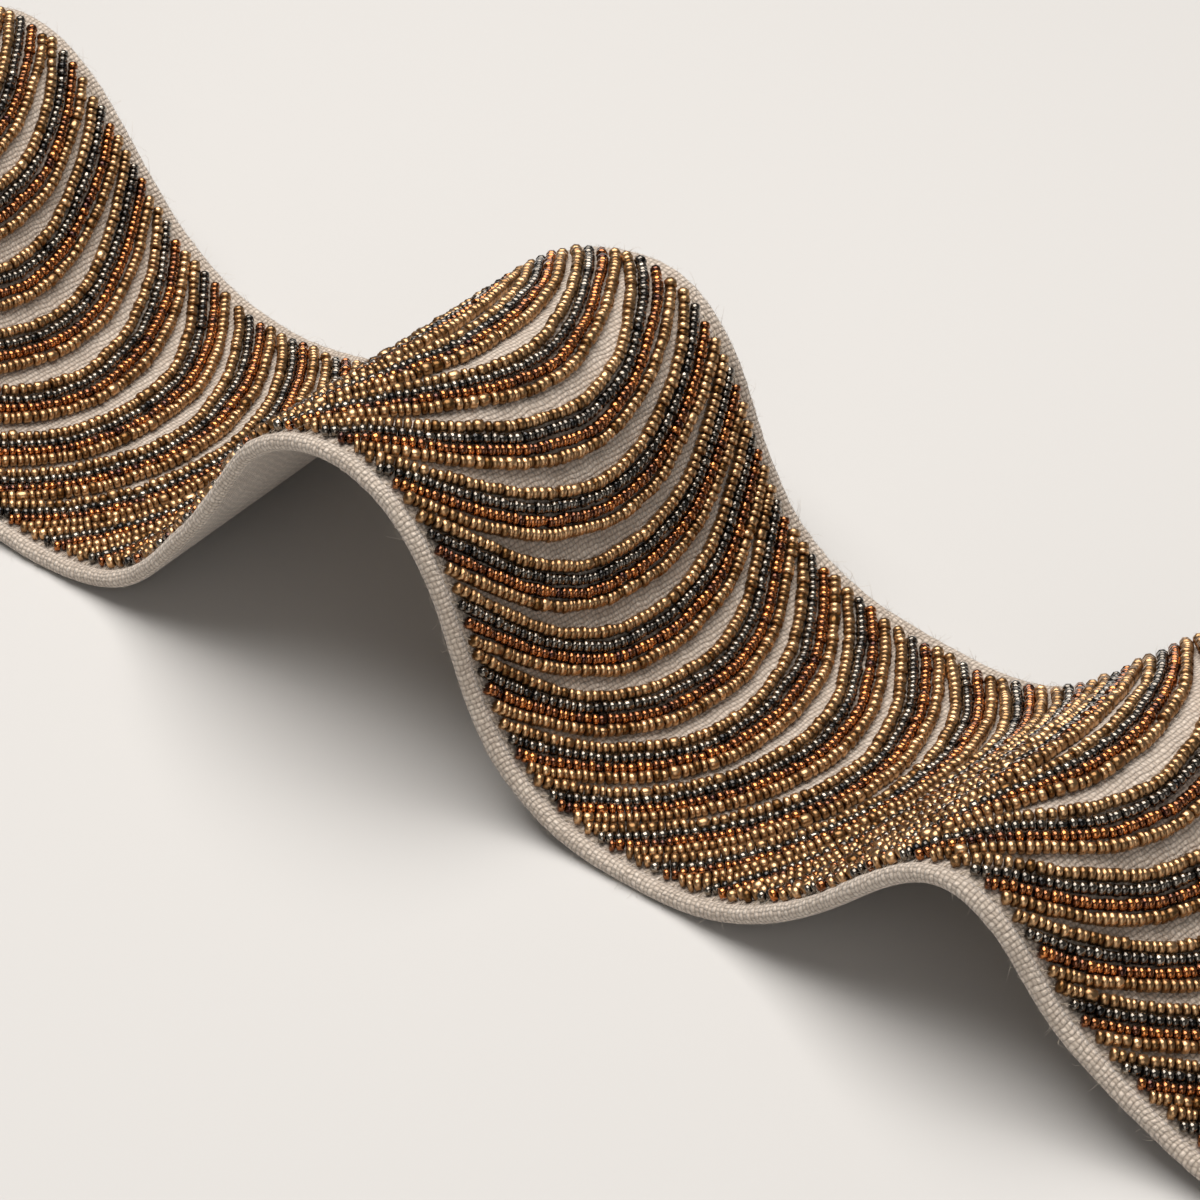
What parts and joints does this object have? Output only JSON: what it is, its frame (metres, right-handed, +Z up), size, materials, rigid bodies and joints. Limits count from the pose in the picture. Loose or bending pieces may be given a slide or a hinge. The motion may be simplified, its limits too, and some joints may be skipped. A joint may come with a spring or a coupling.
{
  "type": "beaded tape trim",
  "caption": "Linen tape trim lying in loose uneven waves, covered with bowed bands of gold, black and copper beads",
  "frame": {"origin": "centre of the bounding box, on the surface that the tape lies on", "axes": "+X runs along the tape, the way its bead rows bow; +Y across its width to the far edge; +Z up"},
  "size_m": [0.4416, 0.075, 0.0512],
  "materials": {
    "linen": "plain-weave greige linen, matte, slightly hairy at its turned edges",
    "gold_beads": "satin antique-gold metallic beads",
    "black_beads": "glossy black beads with a grey metallic shine",
    "copper_beads": "amber-brown glass beads with a copper lining"
  },
  "bodies": {
    "root": {"linen_tape": "linen", "bead_band_01": "gold_beads", "bead_band_02": "gold_beads", "bead_band_03": "gold_beads", "bead_band_04": "gold_beads", "bead_band_05": "gold_beads", "bead_band_06": "gold_beads", "bead_band_07": "gold_beads", "bead_band_08": "gold_beads", "bead_band_09": "gold_beads", "bead_band_10": "gold_beads", "bead_band_11": "gold_beads", "bead_band_12": "gold_beads", "bead_band_13": "gold_beads", "bead_band_14": "gold_beads", "bead_band_15": "gold_beads", "bead_band_16": "gold_beads", "bead_band_17": "gold_beads", "bead_band_18": "gold_beads", "bead_band_19": "gold_beads", "bead_band_20": "gold_beads", "bead_band_21": "gold_beads", "bead_band_22": "gold_beads", "bead_band_23": "gold_beads", "bead_band_24": "gold_beads", "bead_band_25": "gold_beads", "bead_band_26": "gold_beads", "bead_band_27": "gold_beads", "bead_band_28": "gold_beads", "bead_band_29": "gold_beads", "bead_band_30": "gold_beads", "bead_band_31": "gold_beads", "bead_band_32": "gold_beads", "bead_band_33": "gold_beads", "bead_band_34": "gold_beads", "bead_band_35": "gold_beads", "bead_band_36": "gold_beads", "bead_band_37": "gold_beads", "bead_band_38": "gold_beads", "bead_band_39": "gold_beads", "bead_band_40": "gold_beads", "bead_band_41": "gold_beads", "bead_band_42": "gold_beads", "bead_band_43": "gold_beads", "bead_band_44": "gold_beads", "bead_band_45": "gold_beads", "bead_band_46": "gold_beads", "bead_band_47": "gold_beads", "bead_band_48": "gold_beads", "bead_band_49": "gold_beads"}
  },
  "joints": []
}
